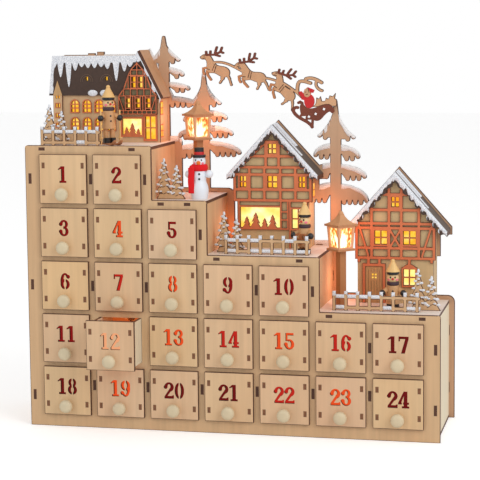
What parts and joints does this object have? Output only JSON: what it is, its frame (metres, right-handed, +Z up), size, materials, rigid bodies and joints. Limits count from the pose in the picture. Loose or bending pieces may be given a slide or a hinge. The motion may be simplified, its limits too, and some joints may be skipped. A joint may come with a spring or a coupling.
{
  "type": "wooden advent calendar",
  "caption": "Stepped plywood drawer cabinet for counting down to Christmas, with a lit winter village, lanterns, turned figures and a sleigh team above its numbered drawers.",
  "frame": {"origin": "middle of the base, on the face that it stands on", "axes": "+X to the right seen from the front, +Y to the back, +Z up"},
  "size_m": [0.407, 0.1584, 0.3791],
  "materials": {
    "plywood": "raw birch plywood",
    "drawer_wood": "raw plywood",
    "turned_wood": "turned, clear satin",
    "snow_deck": "white glaze",
    "red_timber": "red-brown stain",
    "dark_roof": "dark brown stain",
    "white_paint": "white satin paint",
    "amber_film": "translucent film",
    "lamp": "clear lens",
    "black_plastic": "moulded",
    "cell_jacket": "plain jacket"
  },
  "bodies": {
    "cabinet": {"front_panel": "plywood", "back_panel": "plywood", "left_side_panel": "plywood", "right_side_panel": "plywood", "column_dividers": "plywood", "drawer_shelves": "plywood", "bottom_panel": "plywood", "step_deck_1": "snow_deck", "step_deck_2": "snow_deck", "step_deck_3": "snow_deck", "step_deck_4": "snow_deck", "long_house_walls": "plywood", "long_house_timber": "red_timber", "long_house_roof": "dark_roof", "shop_walls": "plywood", "shop_timber": "red_timber", "shop_roof": "dark_roof", "cottage_walls": "plywood", "cottage_timber": "red_timber", "cottage_roof": "dark_roof", "tall_lantern": "plywood", "short_lantern": "plywood", "fences": "plywood", "fir_pairs": "plywood", "skier_figure": "turned_wood", "pretzel_figure": "turned_wood", "walker_figure": "turned_wood", "snowman": "white_paint", "sleigh_team": "plywood", "window_films": "amber_film", "lantern_panes": "amber_film", "led_lamps": "lamp", "battery_box": "black_plastic", "batteries": "cell_jacket"},
    "drawer_01": {"drawer_01": "drawer_wood"},
    "drawer_02": {"drawer_02": "drawer_wood"},
    "drawer_03": {"drawer_03": "drawer_wood"},
    "drawer_04": {"drawer_04": "drawer_wood"},
    "drawer_05": {"drawer_05": "drawer_wood"},
    "drawer_06": {"drawer_06": "drawer_wood"},
    "drawer_07": {"drawer_07": "drawer_wood"},
    "drawer_08": {"drawer_08": "drawer_wood"},
    "drawer_09": {"drawer_09": "drawer_wood"},
    "drawer_10": {"drawer_10": "drawer_wood"},
    "drawer_11": {"drawer_11": "drawer_wood"},
    "drawer_12": {"drawer_12": "drawer_wood"},
    "drawer_13": {"drawer_13": "drawer_wood"},
    "drawer_14": {"drawer_14": "drawer_wood"},
    "drawer_15": {"drawer_15": "drawer_wood"},
    "drawer_16": {"drawer_16": "drawer_wood"},
    "drawer_17": {"drawer_17": "drawer_wood"},
    "drawer_18": {"drawer_18": "drawer_wood"},
    "drawer_19": {"drawer_19": "drawer_wood"},
    "drawer_20": {"drawer_20": "drawer_wood"},
    "drawer_21": {"drawer_21": "drawer_wood"},
    "drawer_22": {"drawer_22": "drawer_wood"},
    "drawer_23": {"drawer_23": "drawer_wood"},
    "drawer_24": {"drawer_24": "drawer_wood"},
    "battery_cover": {"battery_cover": "black_plastic"},
    "power_switch": {"power_switch": "black_plastic"}
  },
  "joints": [
    {"name": "drawer_01_slide", "type": "slide", "parent": "cabinet", "child": "drawer_01", "axis": [0, -1, 0], "range_m": [0, 0.05]},
    {"name": "drawer_02_slide", "type": "slide", "parent": "cabinet", "child": "drawer_02", "axis": [0, -1, 0], "range_m": [0, 0.05]},
    {"name": "drawer_03_slide", "type": "slide", "parent": "cabinet", "child": "drawer_03", "axis": [0, -1, 0], "range_m": [0, 0.05]},
    {"name": "drawer_04_slide", "type": "slide", "parent": "cabinet", "child": "drawer_04", "axis": [0, -1, 0], "range_m": [0, 0.05]},
    {"name": "drawer_05_slide", "type": "slide", "parent": "cabinet", "child": "drawer_05", "axis": [0, -1, 0], "range_m": [0, 0.05]},
    {"name": "drawer_06_slide", "type": "slide", "parent": "cabinet", "child": "drawer_06", "axis": [0, -1, 0], "range_m": [0, 0.05]},
    {"name": "drawer_07_slide", "type": "slide", "parent": "cabinet", "child": "drawer_07", "axis": [0, -1, 0], "range_m": [0, 0.05]},
    {"name": "drawer_08_slide", "type": "slide", "parent": "cabinet", "child": "drawer_08", "axis": [0, -1, 0], "range_m": [0, 0.05]},
    {"name": "drawer_09_slide", "type": "slide", "parent": "cabinet", "child": "drawer_09", "axis": [0, -1, 0], "range_m": [0, 0.05]},
    {"name": "drawer_10_slide", "type": "slide", "parent": "cabinet", "child": "drawer_10", "axis": [0, -1, 0], "range_m": [0, 0.05]},
    {"name": "drawer_11_slide", "type": "slide", "parent": "cabinet", "child": "drawer_11", "axis": [0, -1, 0], "range_m": [0, 0.05]},
    {"name": "drawer_12_slide", "type": "slide", "parent": "cabinet", "child": "drawer_12", "axis": [0, -1, 0], "range_m": [-0.03, 0.02]},
    {"name": "drawer_13_slide", "type": "slide", "parent": "cabinet", "child": "drawer_13", "axis": [0, -1, 0], "range_m": [0, 0.05]},
    {"name": "drawer_14_slide", "type": "slide", "parent": "cabinet", "child": "drawer_14", "axis": [0, -1, 0], "range_m": [0, 0.05]},
    {"name": "drawer_15_slide", "type": "slide", "parent": "cabinet", "child": "drawer_15", "axis": [0, -1, 0], "range_m": [0, 0.05]},
    {"name": "drawer_16_slide", "type": "slide", "parent": "cabinet", "child": "drawer_16", "axis": [0, -1, 0], "range_m": [0, 0.05]},
    {"name": "drawer_17_slide", "type": "slide", "parent": "cabinet", "child": "drawer_17", "axis": [0, -1, 0], "range_m": [0, 0.05]},
    {"name": "drawer_18_slide", "type": "slide", "parent": "cabinet", "child": "drawer_18", "axis": [0, -1, 0], "range_m": [0, 0.05]},
    {"name": "drawer_19_slide", "type": "slide", "parent": "cabinet", "child": "drawer_19", "axis": [0, -1, 0], "range_m": [0, 0.05]},
    {"name": "drawer_20_slide", "type": "slide", "parent": "cabinet", "child": "drawer_20", "axis": [0, -1, 0], "range_m": [0, 0.05]},
    {"name": "drawer_21_slide", "type": "slide", "parent": "cabinet", "child": "drawer_21", "axis": [0, -1, 0], "range_m": [0, 0.05]},
    {"name": "drawer_22_slide", "type": "slide", "parent": "cabinet", "child": "drawer_22", "axis": [0, -1, 0], "range_m": [0, 0.05]},
    {"name": "drawer_23_slide", "type": "slide", "parent": "cabinet", "child": "drawer_23", "axis": [0, -1, 0], "range_m": [0, 0.05]},
    {"name": "drawer_24_slide", "type": "slide", "parent": "cabinet", "child": "drawer_24", "axis": [0, -1, 0], "range_m": [0, 0.05]},
    {"name": "battery_cover_slide", "type": "slide", "parent": "cabinet", "child": "battery_cover", "axis": [0, 0, 1], "range_m": [0, 0.058]},
    {"name": "power_switch_slide", "type": "slide", "parent": "cabinet", "child": "power_switch", "axis": [1, 0, 0], "range_m": [0, 0.004]}
  ]
}
